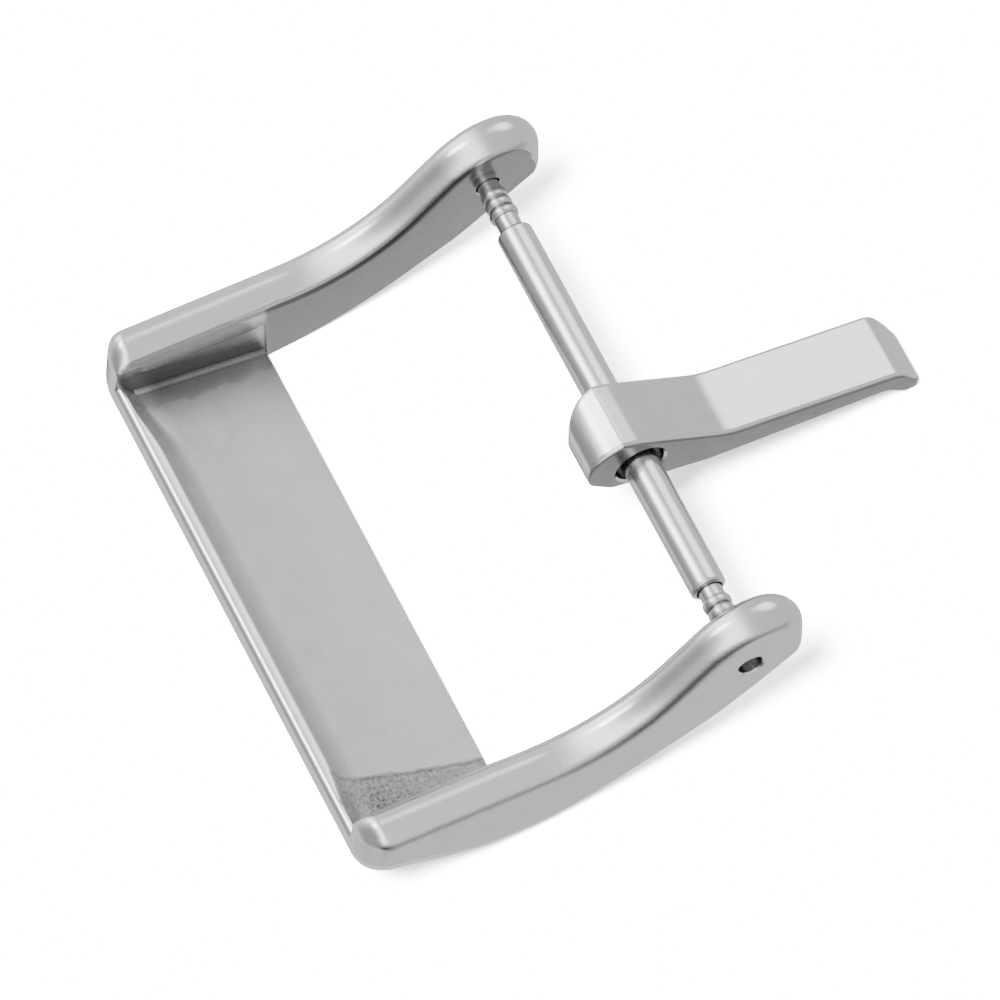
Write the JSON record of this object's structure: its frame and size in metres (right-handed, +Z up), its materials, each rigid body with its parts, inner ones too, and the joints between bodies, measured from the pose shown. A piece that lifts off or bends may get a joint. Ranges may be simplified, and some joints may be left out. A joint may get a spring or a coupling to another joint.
{
  "type": "watch strap pin buckle",
  "caption": "Pin buckle for a watch strap: a curved frame with two lug ends, a sprung bar across them and a tongue that swings on the bar.",
  "frame": {"origin": "middle of the spring bar's axis, halfway between the two arms", "axes": "+Y along the spring bar towards the arm that is farther from the camera; +Z up from the table the buckle lies on, outer face down; +X level, from the crossbar past the bar to the tongue's tip. The frame's arms slope by about 8 degrees against X, because the buckle lies on its curved outer face and on the tongue's tip"},
  "size_m": [0.0288, 0.0256, 0.0074],
  "materials": {
    "frame_steel": "polished stainless steel, the plate satin from casting",
    "tongue_steel": "polished stainless steel",
    "tube_steel": "drawn stainless steel, slightly scuffed",
    "pin_steel": "turned stainless steel",
    "spring_steel": "bare spring wire"
  },
  "bodies": {
    "frame": {"frame": "frame_steel"},
    "bar": {"bar_tube": "tube_steel", "bar_spring": "spring_steel"},
    "pin_far": {"bar_pin_far": "pin_steel"},
    "pin_near": {"bar_pin_near": "pin_steel"},
    "tongue": {"tongue": "tongue_steel"}
  },
  "joints": [
    {"name": "bar_spin", "type": "hinge", "parent": "frame", "child": "bar", "pos_m": [0, 0, 0], "axis": [0, 1, 0], "continuous": true},
    {"name": "pin_far_press", "type": "slide", "parent": "bar", "child": "pin_far", "axis": [0, -1, 0], "range_m": [0, 0.0006], "stiffness_N_per_m": 400, "deforming": ["bar_spring"]},
    {"name": "pin_near_press", "type": "slide", "parent": "bar", "child": "pin_near", "axis": [0, 1, 0], "range_m": [0, 0.00045], "stiffness_N_per_m": 400},
    {"name": "tongue_swing", "type": "hinge", "parent": "frame", "child": "tongue", "pos_m": [0, 0, 0], "axis": [0, 1, 0], "range_deg": [-217, 132]}
  ]
}
